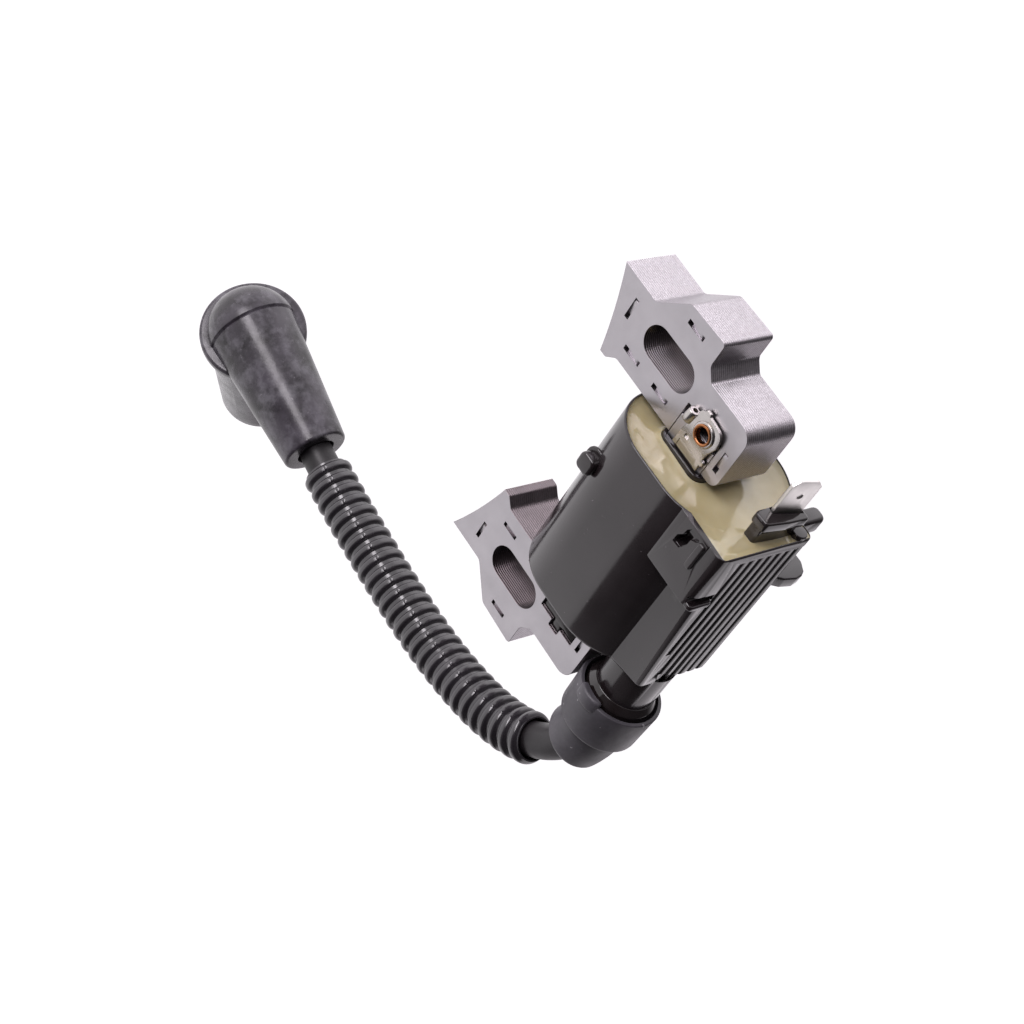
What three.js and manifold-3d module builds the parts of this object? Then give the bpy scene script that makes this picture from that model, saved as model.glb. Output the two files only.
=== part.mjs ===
// Ignition coil of a small air-cooled engine, in millimetres, +Z up.
// The origin is midway between the two slot centres, on the face that seats on the engine.
// The laminated core stands in the XZ plane with its pole faces down, towards the flywheel.
import * as THREE from 'three';
import { mergeVertices } from 'three/addons/utils/BufferGeometryUtils.js';
import Module from 'manifold-3d';

const wasm = await Module();
wasm.setup();

// ---- driving dimensions ----
const GAP = 0.3;                 // clearance between neighbouring pieces
const STACK = 12;                // thickness of the lamination stack, Y from -STACK to 0
const SLOT_X = 30;               // slot centres stand at +-SLOT_X
const SLOT_WIDTH = 6.5;
const SLOT_LENGTH = 13.2;
const POLE_RADIUS = 86.15;       // radius swept by the flywheel magnets plus the air gap
const POLE_CENTRE_Z = -96.2;
const LEG_IN = 20.8;             // inner edge of each leg
const LEG_TOP = 21.3;
const BAR_LOW = 7.9;             // notch that takes the crossbar
const BAR_HIGH = 17.6;
const BAR_END = 25.4;            // the crossbar reaches this far into each leg

const CASE_OPEN = -19.7;         // open rim of the case
const CASE_CLOSED = 17.9;        // closed end of the case
const CASE_WALL = 1.6;
const DRUM = { front: -20.5, back: 8.5, low: -1.6, high: 29.5, radius: 12 };
const BOX = { frontRim: -19.1, frontEnd: -14.2, back: 3.4, top: 34.3, taperFrom: CASE_OPEN };
const COIL = { y: -STACK / 2, z: (BAR_LOW + BAR_HIGH) / 2 };
const EPOXY_FACE = -18.7;

const TOWER = { y: -7.8, z: 29.1, radius: 5.85, step: 28.6, spigot: 5.2, end: 35.6 };
const LEAD_RADIUS = 3.5;         // 7 mm high-tension lead
const CONDUIT_RADIUS = 5.2;
const CONDUIT_BORE = 4.1;
const ELBOW = { x: 36.2, z: 3.1, radius: 26 };

const CAP_END = new THREE.Vector3(64.6, -5.5, -58.9);
const CAP_LENGTH = 30.6;         // lead end face to the centre of the elbow
const CAP_TILT = THREE.MathUtils.degToRad(7.7);
const CAP_SWIVEL = THREE.MathUtils.degToRad(31.2);
const PLUG_REACH = 31;           // elbow centre to the mouth of the plug barrel

// ---- materials ----
const finish = (color, roughness, metalness) => new THREE.MeshStandardMaterial({ color, roughness, metalness });
const steel = () => finish(0xb9b4ba, 0.35, 0.9);
const blackPlastic = () => finish(0x2a2628, 0.45, 0);
const whitePlastic = () => finish(0xd8d2c4, 0.5, 0);
const rubber = () => finish(0x35353a, 0.75, 0);
const copper = () => finish(0xb8733f, 0.3, 1);
const tinPlate = () => finish(0xd6d2cf, 0.25, 1);
const resin = () => finish(0xcdc196, 0.18, 0);
const brass = () => finish(0xc9a650, 0.3, 1);

// ---- solids ----
const group = new THREE.Group();

/** A manifold solid from any closed three.js geometry. */
function solid(geometry) {
  const bare = geometry.index ? geometry.toNonIndexed() : geometry.clone();
  bare.deleteAttribute('normal');
  bare.deleteAttribute('uv');
  const merged = mergeVertices(bare, 1e-4);
  return new wasm.Manifold(new wasm.Mesh({
    numProp: 3,
    vertProperties: new Float32Array(merged.attributes.position.array),
    triVerts: new Uint32Array(merged.index.array),
  }));
}

/** Names a manifold solid and hangs it in the scene graph. */
function piece(name, body, material, parent = group) {
  const mesh = body.getMesh();
  const geometry = new THREE.BufferGeometry();
  geometry.setAttribute('position', new THREE.BufferAttribute(new Float32Array(mesh.vertProperties), 3));
  geometry.setIndex(new THREE.BufferAttribute(new Uint32Array(mesh.triVerts), 1));
  geometry.computeVertexNormals();
  const node = new THREE.Mesh(geometry, material);
  node.name = name;
  parent.add(node);
  return node;
}

/** A closed outline through corners [x, y, radius]; radius 0 leaves a corner sharp. */
function outline(corners, Path = THREE.Shape) {
  const path = new Path();
  const count = corners.length;
  const at = (i) => new THREE.Vector2(...corners[(i + count) % count]);
  for (let i = 0; i < count; i += 1) {
    const here = at(i);
    const radius = corners[i][2] ?? 0;
    const back = at(i - 1).sub(here).normalize();
    const ahead = at(i + 1).sub(here).normalize();
    const setback = radius / Math.tan(Math.acos(back.dot(ahead)) / 2);
    const from = here.clone().addScaledVector(back, setback);
    const to = here.clone().addScaledVector(ahead, setback);
    if (i === 0) path.moveTo(from.x, from.y);
    else path.lineTo(from.x, from.y);
    if (radius > 0) arc(path, from, to, back, radius, back.cross(ahead) < 0);
  }
  path.closePath();
  return path;
}

function arc(path, from, to, back, radius, leftTurn) {
  const side = leftTurn ? 1 : -1;
  const centre = new THREE.Vector2(from.x + side * back.y * radius, from.y - side * back.x * radius);
  const start = Math.atan2(from.y - centre.y, from.x - centre.x);
  const stop = Math.atan2(to.y - centre.y, to.x - centre.x);
  path.absarc(centre.x, centre.y, radius, start, stop, !leftTurn);
}

const rectangle = (y, z, halfY, halfZ, radius) => [
  [y - halfY, z - halfZ, radius], [y + halfY, z - halfZ, radius],
  [y + halfY, z + halfZ, radius], [y - halfY, z + halfZ, radius],
];

/** Extrudes an XZ outline along Y, from the front plane to the back plane. */
function plate(shape, front, back, curveSegments = 5) {
  const geometry = new THREE.ExtrudeGeometry(shape, { depth: back - front, bevelEnabled: false, curveSegments });
  geometry.applyMatrix4(new THREE.Matrix4().makeBasis(
    new THREE.Vector3(1, 0, 0), new THREE.Vector3(0, 0, 1), new THREE.Vector3(0, -1, 0)));
  geometry.translate(0, back, 0);
  return solid(geometry);
}

/** Extrudes a YZ outline along X, from low to high. */
function bar(shape, low, high, curveSegments = 5) {
  const geometry = new THREE.ExtrudeGeometry(shape, { depth: high - low, bevelEnabled: false, curveSegments });
  geometry.applyMatrix4(new THREE.Matrix4().makeBasis(
    new THREE.Vector3(0, 1, 0), new THREE.Vector3(0, 0, 1), new THREE.Vector3(1, 0, 0)));
  geometry.translate(low, 0, 0);
  return solid(geometry);
}

function block(low, high) {
  const size = high.map((v, i) => v - low[i]);
  const geometry = new THREE.BoxGeometry(...size);
  geometry.translate(...low.map((v, i) => v + size[i] / 2));
  return solid(geometry);
}

/** Turns a profile of [radius, distance] about an axis through point, along direction. */
function turned(profile, point, direction, segments = 20) {
  const geometry = new THREE.LatheGeometry(profile.map(([r, d]) => new THREE.Vector2(r, d)), segments);
  const turn = new THREE.Quaternion().setFromUnitVectors(new THREE.Vector3(0, 1, 0), direction.clone().normalize());
  geometry.applyQuaternion(turn);
  geometry.translate(point.x, point.y, point.z);
  return solid(geometry);
}

const rod = (radius, start, end) => {
  const direction = end.clone().sub(start);
  const length = direction.length();
  return turned([[0, 0], [radius, 0], [radius, length], [0, length]], start, direction);
};

/** A round tube along a curve: outer radius, optional bore radius. */
function tube(curve, steps, radius, bore = 0, sides = 8) {
  const ring = (r, Path) => {
    const path = new Path();
    for (let i = 0; i <= sides; i += 1) {
      const angle = (2 * Math.PI * i) / sides;
      path[i ? 'lineTo' : 'moveTo'](r * Math.cos(angle), r * Math.sin(angle));
    }
    return path;
  };
  const section = ring(radius, THREE.Shape);
  if (bore) section.holes.push(ring(bore, THREE.Path));
  return solid(new THREE.ExtrudeGeometry(section, { steps, bevelEnabled: false, extrudePath: curve }));
}

const X = new THREE.Vector3(1, 0, 0);
const Y = new THREE.Vector3(0, 1, 0);

// ---- core: two legs and the crossbar they carry ----
function poleFace(count) {
  const points = [];
  const low = Math.asin(19 / POLE_RADIUS);
  const high = Math.asin(35.3 / POLE_RADIUS);
  for (let i = 0; i <= count; i += 1) {
    const angle = low + ((high - low) * i) / count;
    points.push([POLE_RADIUS * Math.sin(angle), POLE_CENTRE_Z + POLE_RADIUS * Math.cos(angle), 0]);
  }
  return points;
}

const legCorners = [
  ...poleFace(6),
  [35.2, -8.3, 1.5], [40.9, -2.4, 1.5], [41.3, 7.2, 1], [36.2, 7.2, 0], [34.1, 9.3, 0],
  [34.1, LEG_TOP, 2.8], [LEG_IN, LEG_TOP, 2],
  [LEG_IN, BAR_HIGH, 0], [27.9, BAR_HIGH, 0], [27.9, 14.1, 0], [29.4, 14.1, 0],
  [29.4, 11.5, 0], [27.9, 11.5, 0], [27.9, BAR_LOW, 0], [LEG_IN, BAR_LOW, 0],
  [LEG_IN, -8.6, 1], [19, -10.6, 0.8],
];

/** The same outline on the other side of the middle plane, still counter-clockwise. */
const mirrored = (corners) => corners.map(([x, ...rest]) => [-x, ...rest]).reverse();

function leg(side) {
  const shape = outline(side > 0 ? legCorners : mirrored(legCorners));
  shape.holes.push(outline(
    rectangle(side * SLOT_X, 0, SLOT_WIDTH / 2, SLOT_LENGTH / 2, SLOT_WIDTH / 2 - 0.1), THREE.Path));
  return plate(shape, -STACK, 0, 6);
}

const keyCorners = [
  [BAR_END + GAP, BAR_LOW + GAP, 0], [27.6, BAR_LOW + GAP, 0], [27.6, 11.8, 0], [29.1, 11.8, 0],
  [29.1, 13.8, 0], [27.6, 13.8, 0], [27.6, BAR_HIGH - GAP, 0], [BAR_END + GAP, BAR_HIGH - GAP, 0],
];

for (const [side, word] of [[-1, 'left'], [1, 'right']]) {
  piece(`core_leg_${word}`, leg(side), steel());
  const shape = outline(side > 0 ? keyCorners : mirrored(keyCorners));
  piece(`core_key_${word}`, plate(shape, side > 0 ? -STACK + 0.4 : -11.3, -0.4), blackPlastic());
}
piece('core_crossbar', block([-BAR_END, -STACK, BAR_LOW + GAP], [BAR_END, 0, BAR_HIGH - GAP]), steel());

// ---- ground clip on the left leg, with its eyelet ----
const EYELET = { x: -27.1, z: 14.2, hole: 1.95 };
const clipCorners = [
  [-20.9, 16.9, 0], [-24.9, 16.8, 0], [-27.2, 17.6, 0], [-30, 17.3, 1.8], [-30.4, 11.6, 1.6],
  [-27, 10.4, 0], [-24.4, 10.1, 0], [-20.9, 9.9, 0],
];
const clipShape = outline(clipCorners);
clipShape.holes.push(outline(
  rectangle(EYELET.x, EYELET.z, EYELET.hole, EYELET.hole, EYELET.hole - 0.1), THREE.Path));
piece('ground_clip', plate(clipShape, -STACK - GAP - 0.6, -STACK - GAP), tinPlate());
piece('ground_eyelet', turned(
  [[1.2, 0], [1.65, 0], [1.65, 0.9], [2.3, 1], [2.3, 1.35], [1.2, 1.35], [1.2, 0]],
  new THREE.Vector3(EYELET.x, -STACK - GAP, EYELET.z), Y.clone().negate()), copper());

// ---- coil pack round the crossbar ----
/** A square tube about the crossbar; each half size comes with its own corner radius. */
const ring = (outer, inner, low, high) => {
  const shape = outline(rectangle(COIL.y, COIL.z, ...outer));
  shape.holes.push(outline(rectangle(COIL.y, COIL.z, ...inner), THREE.Path));
  return bar(shape, low, high);
};
const TUNNEL = [6.3, 4.85, 0.4];
const PRIMARY_TUBE = [7.3, 5.9, 2.3];
const PRIMARY_OUT = [8.9, 7.5, 3.9];
const SECONDARY_IN = [9.2, 7.8, 4.2];
const SECONDARY_TUBE = [9.9, 8.5, 4.9];
const SECONDARY_OUT = [11.4, 10.1, 6.7];
const grown = ([y, z, radius], by) => [y + by, z + by, radius + by];
const COIL_ENDS = { left: -13.8, right: 14.2, flange: 1 };
const woundFrom = COIL_ENDS.left + COIL_ENDS.flange + GAP;
const woundTo = COIL_ENDS.right - COIL_ENDS.flange - GAP;
const flanges = (outer, inner) => ring(outer, inner, COIL_ENDS.left, COIL_ENDS.left + COIL_ENDS.flange)
  .add(ring(outer, inner, COIL_ENDS.right - COIL_ENDS.flange, COIL_ENDS.right));
piece('primary_bobbin', ring(PRIMARY_TUBE, TUNNEL, -LEG_IN + GAP + 0.1, LEG_IN - GAP - 0.1)
  .add(flanges(PRIMARY_OUT, TUNNEL)), blackPlastic());
piece('primary_winding', ring(PRIMARY_OUT, grown(PRIMARY_TUBE, GAP), woundFrom, woundTo), copper());
piece('secondary_bobbin', ring(SECONDARY_TUBE, SECONDARY_IN, COIL_ENDS.left, COIL_ENDS.right)
  .add(flanges(SECONDARY_OUT, SECONDARY_IN)), whitePlastic());
piece('secondary_winding', ring(grown(SECONDARY_OUT, -0.2), grown(SECONDARY_TUBE, GAP), woundFrom, woundTo), copper());

// ---- case ----
const drumCorners = (inset) => [
  [DRUM.front + inset, DRUM.low + inset, DRUM.radius - inset],
  [DRUM.back - inset, DRUM.low + inset, DRUM.radius - inset],
  [DRUM.back - inset, DRUM.high - inset, DRUM.radius - inset],
  [DRUM.front + inset, DRUM.high - inset, DRUM.radius - inset],
];
const drum = (inset, low, high) => bar(outline(drumCorners(inset)), low, high, 8);

/** The box half of the case; its front wall tapers back towards the closed end. */
function boxHalf(inset, low, high) {
  const front = (x) => {
    const t = Math.max(0, (x - BOX.taperFrom) / (CASE_CLOSED - BOX.taperFrom));
    return BOX.frontRim + t * (BOX.frontEnd - BOX.frontRim) + inset;
  };
  const wedge = [[low, front(low), 0], [low, BOX.back + 5, 0], [high, BOX.back + 5, 0], [high, front(high), 0]];
  if (low < BOX.taperFrom) wedge.push([BOX.taperFrom, front(BOX.taperFrom), 0]);
  const plan = new THREE.ExtrudeGeometry(outline(wedge.reverse()), { depth: 40, bevelEnabled: false });
  const section = bar(outline([
    [DRUM.front, 12, 0], [BOX.back - inset, 12, 0],
    [BOX.back - inset, BOX.top - inset, 1.5], [DRUM.front, BOX.top - inset, 0],
  ]), low, high);
  return section.intersect(solid(plan));
}

const caseBody = (inset, low, high) => drum(inset, low, high).add(boxHalf(inset, low, high));

/** Shallow cooling grooves along the top face. */
function grooves() {
  const FIRST = -10.9;
  const PITCH = 2.25;
  const COUNT = 7;
  let cutters = null;
  for (let i = 0; i < COUNT; i += 1) {
    const y = FIRST + i * PITCH;
    const end = i === 0 ? 14.6 : CASE_CLOSED + 1;
    const cutter = block([-17.8, y - 0.4, BOX.top - 0.6], [end, y + 0.4, BOX.top + 1]);
    cutters = cutters ? cutters.add(cutter) : cutter;
  }
  return cutters;
}

const towerStart = new THREE.Vector3(CASE_CLOSED - 0.9, TOWER.y, TOWER.z);
const towerStep = new THREE.Vector3(TOWER.step, TOWER.y, TOWER.z);
const towerEnd = new THREE.Vector3(TOWER.end, TOWER.y, TOWER.z);
const PIN_BORE = 2;
const boreStart = new THREE.Vector3(12, TOWER.y, TOWER.z);
const panel = block([CASE_OPEN, -19.5, 21.6], [-7, -15, 33.6]);
const peg = rod(1.9, new THREE.Vector3(-8.3, -12, 3.1), new THREE.Vector3(-8.3, -20.4, 3.1));
const rimEar = block([CASE_OPEN, 3, 28.1], [-16, 9.5, 31.4]);
const sideEar = block([-8.2, 3, 28.6], [-6, 10.6, 34.2]);
const housing = caseBody(0, CASE_OPEN, CASE_CLOSED)
  .subtract(grooves())
  .add(panel).add(peg).add(rimEar).add(sideEar)
  .add(rod(TOWER.radius, towerStart, towerStep)).add(rod(TOWER.spigot, towerStart, towerEnd))
  .subtract(caseBody(CASE_WALL, CASE_OPEN - 1, CASE_CLOSED - CASE_WALL))
  .subtract(rod(PIN_BORE, boreStart, towerEnd.clone().addScaledVector(X, 1)))
  .subtract(bar(outline(rectangle(COIL.y, COIL.z, ...grown(PRIMARY_TUBE, GAP))), CASE_CLOSED - 3, CASE_CLOSED + 1));
piece('housing', housing, blackPlastic());

// ---- what the case holds besides the coil pack ----
const BOARD_LOW = 25.3;
const BOARD_TOP = 26.9;
piece('circuit_board', block([-13, -11.2, BOARD_LOW], [11, 0, BOARD_TOP]), finish(0x2f6b3c, 0.5, 0));
piece('switching_transistor',
  block([-9, -10, BOARD_TOP + GAP], [1, -1.5, BOARD_TOP + 4.3]), blackPlastic());
piece('bias_resistor', rod(1.2, new THREE.Vector3(4.2, -9.8, 28.5), new THREE.Vector3(4.2, -3.4, 28.5)),
  finish(0xc8a878, 0.5, 0));
piece('protection_diode', rod(1.3, new THREE.Vector3(8.2, -9.8, 28.6), new THREE.Vector3(8.2, -3.4, 28.6)),
  blackPlastic());
piece('hv_contact_pin',
  rod(1.1, new THREE.Vector3(11.6, TOWER.y, TOWER.z), new THREE.Vector3(37.6, TOWER.y, TOWER.z)), brass());

// ---- stop-switch blade and its holder ----
const BLADE = { y: -4.2, z: 30.4, thick: 0.8, half: 3.15, tip: -32.3, neck: -18.2, root: -12.2, lean: 12 };
const HOLDER = { low: [-24, -10.3, 28.9], high: [EPOXY_FACE - GAP, -0.3, 32.3] };

/** The blade, grown all round by a clearance when it cuts its own slot. */
function flatBlade(grow) {
  const half = BLADE.half + grow;
  const tail = 2.4 + grow;
  const tip = BLADE.tip - grow;
  const neck = BLADE.neck + grow;
  const root = BLADE.root + grow;
  const shape = outline([
    [tip, 1.2 - half], [tip + 1.2, -half], [neck, -half], [neck, -tail], [root, -tail],
    [root, tail], [neck, tail], [neck, half], [tip + 1.2, half], [tip, half - 1.2],
  ]);
  const thick = BLADE.thick + 2 * grow;
  const geometry = new THREE.ExtrudeGeometry(shape, { depth: thick, bevelEnabled: false });
  geometry.translate(0, 0, -thick / 2);
  geometry.rotateX(THREE.MathUtils.degToRad(BLADE.lean));
  geometry.translate(0, BLADE.y, BLADE.z);
  return solid(geometry);
}

piece('stop_terminal', flatBlade(0), tinPlate());
piece('terminal_holder', block(HOLDER.low, HOLDER.high).subtract(flatBlade(GAP)), blackPlastic());
piece('stop_post', rod(0.6, new THREE.Vector3(-12.3, BLADE.y, 29.6),
  new THREE.Vector3(-12.3, BLADE.y, BOARD_TOP + GAP)), copper());

// ---- potting that fills the case and shows at its open rim ----
const POCKET_DEPTH = -14.3;
const CAVITY_END = CASE_CLOSED - CASE_WALL;
const epoxy = caseBody(CASE_WALL + GAP, EPOXY_FACE, CAVITY_END - GAP)
  .subtract(bar(outline(rectangle(COIL.y, COIL.z, ...grown(SECONDARY_OUT, GAP))), POCKET_DEPTH, CASE_CLOSED))
  .subtract(bar(outline(rectangle(COIL.y, COIL.z, ...grown(PRIMARY_TUBE, GAP))), EPOXY_FACE - 1, 0))
  .subtract(block([POCKET_DEPTH, -11.6, 24.9], [CASE_CLOSED, 0.4, 31.9]))
  .subtract(flatBlade(GAP));
piece('potting_epoxy', epoxy, resin());

// ---- high-tension lead, from the tower boot to the plug cap ----
const route = [
  [36.2, -7.8, 29.1], [40.6, -7.8, 28.7], [45.1, -7.7, 27.5], [50, -7.6, 25.2], [54.2, -7.5, 21.9],
  [57.3, -7.4, 18], [59.7, -7.3, 13.7], [61.7, -7.2, 8.8], [63.4, -7, 3], [64.7, -6.8, -3.2],
  [65.6, -6.6, -9.6], [66, -6.5, -16], [66.2, -6.3, -22.5], [66.2, -6.2, -29], [66.1, -6, -35.5],
  [65.9, -5.9, -42], [65.6, -5.7, -48.5], [65.1, -5.6, -54.5], [64.6, -5.5, -58.9],
  [63.93, -5.5, -63.85], [63.12, -5.5, -69.8],
];
const lead = new THREE.CatmullRomCurve3(route.map((p) => new THREE.Vector3(...p)), false, 'centripetal');

/** The part of the lead's line between two fractions of its length. */
function span(from, to, count) {
  const points = [];
  for (let i = 0; i <= count; i += 1) points.push(lead.getPointAt(from + ((to - from) * i) / count));
  return new THREE.CatmullRomCurve3(points, false, 'centripetal');
}

const LEAD_START = 0.02;
const BARREL_END = 0.075;
const CONDUIT_START = 0.178;
const CONDUIT_END = 0.862;
piece('ht_lead', tube(span(LEAD_START, 1, 30), 30, LEAD_RADIUS, 1.25), finish(0x2b2a2d, 0.5, 0));
piece('lead_conductor', tube(span(LEAD_START, 1, 30), 30, 0.9), copper());
piece('conduit', tube(span(CONDUIT_START, CONDUIT_END, 22), 22, CONDUIT_RADIUS, CONDUIT_BORE, 12),
  finish(0x1c1b1d, 0.2, 0));

// ---- rubber boot over the tower ----
const CUP = { rim: 27.4, floor: 36.5, rimRadius: 8.2, floorRadius: 7.85 };
const cupStart = new THREE.Vector3(CUP.rim, TOWER.y, TOWER.z);
const cupDepth = CUP.floor - CUP.rim;
const boot = turned([[0, 0], [CUP.rimRadius, 0], [CUP.floorRadius, cupDepth], [0, cupDepth]], cupStart, X, 28)
  .add(tube(span(0, BARREL_END, 4), 4, 6.4, 0, 20))
  .subtract(turned([[0, -1], [6.8, -1], [6.7, 1.5], [5.6, 3.5], [5.6, 8.5], [0, 8.5]], cupStart, X, 28))
  .subtract(tube(span(0, BARREL_END + 0.02, 4), 4, 3.9, 0, 16))
  .subtract(rod(3.5, cupStart, new THREE.Vector3(CUP.floor + 1, TOWER.y, TOWER.z)))
  .subtract(block([CUP.rim - 1, -STACK - 0.5, 18], [34.6, 0.5, LEG_TOP + GAP]));
piece('tower_boot', boot, rubber());
piece('boot_terminal', turned([[1.5, 0], [2.4, 0], [2.4, 1.4], [1.5, 1.4], [1.5, 0]],
  new THREE.Vector3(36.1, TOWER.y, TOWER.z), X), brass());

// ---- plug cap: a right-angled rubber moulding that swivels on the lead ----
const capDown = new THREE.Vector3(-Math.sin(CAP_TILT), 0, -Math.cos(CAP_TILT));
const capSide = new THREE.Vector3(Math.cos(CAP_TILT), 0, -Math.sin(CAP_TILT));
const plugWay = capSide.clone().multiplyScalar(Math.cos(CAP_SWIVEL)).addScaledVector(Y, Math.sin(CAP_SWIVEL));
const elbow = CAP_END.clone().addScaledVector(capDown, CAP_LENGTH);
const ball = new THREE.SphereGeometry(9.5, 28, 18);
ball.translate(elbow.x, elbow.y, elbow.z);
const capShell = turned([[0, 0], [6.85, 0], [8.8, CAP_LENGTH], [0, CAP_LENGTH]], CAP_END, capDown, 28)
  .add(solid(ball))
  .add(turned([[0, 0], [9.6, 0], [9.1, PLUG_REACH], [0, PLUG_REACH]], elbow, plugWay, 28))
  .add(turned([[0, -0.2], [11.3, -0.2], [11.3, 2.2], [0, 2.2]], elbow, plugWay, 32))
  .subtract(turned([[0, -1], [3.9, -1], [3.9, 11.6], [2.3, 12.4], [2.3, CAP_LENGTH], [0, CAP_LENGTH]],
    CAP_END, capDown, 20))
  .subtract(turned([[0, 0], [4, 0], [4, 3], [7.2, 5], [7.2, 32], [0, 32]], elbow, plugWay, 24));
piece('plug_cap', capShell, rubber());
piece('cap_contact_rod', rod(1.5, CAP_END.clone().addScaledVector(capDown, 11.5),
  CAP_END.clone().addScaledVector(capDown, CAP_LENGTH - 4.2)), brass());
piece('plug_terminal_clip', turned([[2.4, 0], [3.4, 0], [3.4, 11], [2.4, 11], [2.4, 0]],
  elbow.clone().addScaledVector(plugWay, 1), plugWay, 16), brass());

export default group;
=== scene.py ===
# Looks of a small-engine ignition coil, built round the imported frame. Sizes below are in millimetres.
from math import asin, atan2, cos, exp, hypot, pi, radians, sin, sqrt, tan

import bmesh
import bpy
import numpy as np
from mathutils import Matrix, Vector
from mathutils.geometry import delaunay_2d_cdt


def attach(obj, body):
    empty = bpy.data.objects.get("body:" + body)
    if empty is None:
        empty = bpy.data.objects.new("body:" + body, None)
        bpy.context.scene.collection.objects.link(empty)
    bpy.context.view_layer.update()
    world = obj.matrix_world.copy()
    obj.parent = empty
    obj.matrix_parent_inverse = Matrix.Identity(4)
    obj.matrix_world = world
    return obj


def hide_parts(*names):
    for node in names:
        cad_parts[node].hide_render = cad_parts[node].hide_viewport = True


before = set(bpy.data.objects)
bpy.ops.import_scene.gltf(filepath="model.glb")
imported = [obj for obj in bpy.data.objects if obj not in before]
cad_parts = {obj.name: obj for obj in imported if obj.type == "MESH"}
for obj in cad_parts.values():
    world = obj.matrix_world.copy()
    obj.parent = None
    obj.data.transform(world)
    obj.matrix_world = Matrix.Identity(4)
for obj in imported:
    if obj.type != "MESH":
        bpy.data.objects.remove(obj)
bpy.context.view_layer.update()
MM = 0.001
scene = bpy.context.scene


# ---------------- camera
def add_camera():
    right = Vector((-0.42998, 0.73767, 0.52054))
    up = Vector((-0.62407, 0.17380, -0.76179))
    view = Vector((0.65242, 0.65241, -0.38563))
    data = bpy.data.cameras.new("camera")
    data.lens = 79.2
    data.sensor_width = 36
    data.clip_start = 0.01
    data.clip_end = 50
    camera = bpy.data.objects.new("camera", data)
    matrix = Matrix((right, up, -view)).transposed().to_4x4()
    matrix.translation = Vector((-0.24793, -0.28077, 0.15065))
    camera.matrix_world = matrix
    scene.collection.objects.link(camera)
    scene.camera = camera


add_camera()


# ---------------- mesh helpers
def shade(obj, angle=32):
    obj.data.shade_smooth()
    obj.data.set_sharp_from_angle(angle=radians(angle))


def make(name, verts, faces, angle=32):
    """A closed mesh from millimetre points, with its normals made to face out."""
    mesh = bpy.data.meshes.new(name)
    mesh.from_pydata([tuple(c * MM for c in v) for v in verts], [], faces)
    obj = bpy.data.objects.new(name, mesh)
    scene.collection.objects.link(obj)
    build = bmesh.new()
    build.from_mesh(mesh)
    bmesh.ops.remove_doubles(build, verts=build.verts, dist=1e-6)
    bmesh.ops.recalc_face_normals(build, faces=build.faces)
    build.to_mesh(mesh)
    build.free()
    shade(obj, angle)
    return obj


def apply(obj):
    """Applies the modifiers on a piece."""
    graph = bpy.context.evaluated_depsgraph_get()
    mesh = bpy.data.meshes.new_from_object(obj.evaluated_get(graph))
    obj.modifiers.clear()
    obj.data = mesh
    shade(obj)
    return obj


def combine(base, tools, operation):
    """Boolean of closed pieces; the tools are used up."""
    for tool in tools:
        step = base.modifiers.new("combine", "BOOLEAN")
        step.operation = operation
        step.object = tool
        step.solver = "EXACT"
        apply(base)
        bpy.data.objects.remove(tool)
    return base


def join(base, *tools):
    return combine(base, tools, "UNION")


def carve(base, *tools):
    return combine(base, tools, "DIFFERENCE")


def bevel(obj, width, segments=2):
    step = obj.modifiers.new("bevel", "BEVEL")
    step.width = width * MM
    step.segments = segments
    step.limit_method = "ANGLE"
    step.angle_limit = radians(35)
    return apply(obj)


def rounded(low, high, radius, steps=8):
    """Rounded rectangle, counter-clockwise from the low-low corner."""
    (a0, b0), (a1, b1) = [c + radius for c in low], [c - radius for c in high]
    loop = []
    for corner, (a, b) in enumerate(((a0, b0), (a1, b0), (a1, b1), (a0, b1))):
        for k in range(steps + 1):
            turn = pi * (1 + corner / 2 + k / (2 * steps))
            loop.append((a + radius * cos(turn), b + radius * sin(turn)))
    return loop


def fillets(low, high, at_low, at_high, steps=4):
    """(position, inset) pairs of a bar whose two ends are rounded."""
    turns = [pi / 2 * k / steps for k in range(steps + 1)]
    start = [(low + at_low * (1 - cos(t)), at_low * (1 - sin(t))) for t in turns]
    end = [(high - at_high * (1 - cos(t)), at_high * (1 - sin(t))) for t in turns]
    return start + end[::-1]


def strip(verts, faces, rings):
    """Adds a band of quads over rings of equal count."""
    count = len(rings[0])
    start = len(verts)
    for ring in rings:
        verts.extend(tuple(p) for p in ring)
    for a in range(start, start + (len(rings) - 1) * count, count):
        for j in range(count):
            k = (j + 1) % count
            faces.append((a + j, a + k, a + count + k, a + count + j))


def loft(name, rings, angle=32):
    """Skin over closed rings of equal count, with flat ends."""
    count = len(rings[0])
    verts, faces = [], []
    strip(verts, faces, rings)
    faces += [tuple(range(count))[::-1], tuple(range(len(verts) - count, len(verts)))]
    return make(name, verts, faces, angle)


def block(name, low, high, radius, axis=0, corner=None, steps=3):
    """A box with rounded edges, lofted along one axis."""
    corner = corner if corner is not None else radius
    others = [i for i in range(3) if i != axis]
    rings = []
    for at, inset in fillets(low[axis], high[axis], radius, radius, steps):
        loop = rounded([low[i] + inset for i in others], [high[i] - inset for i in others],
                       max(corner - inset, 0.02), 4)
        ring = []
        for a, b in loop:
            point = [0, 0, 0]
            point[axis], point[others[0]], point[others[1]] = at, a, b
            ring.append(tuple(point))
        rings.append(ring)
    return loft(name, rings)


def basis(axis):
    axis = Vector(axis).normalized()
    side = axis.orthogonal().normalized()
    return axis, side, axis.cross(side)


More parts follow.
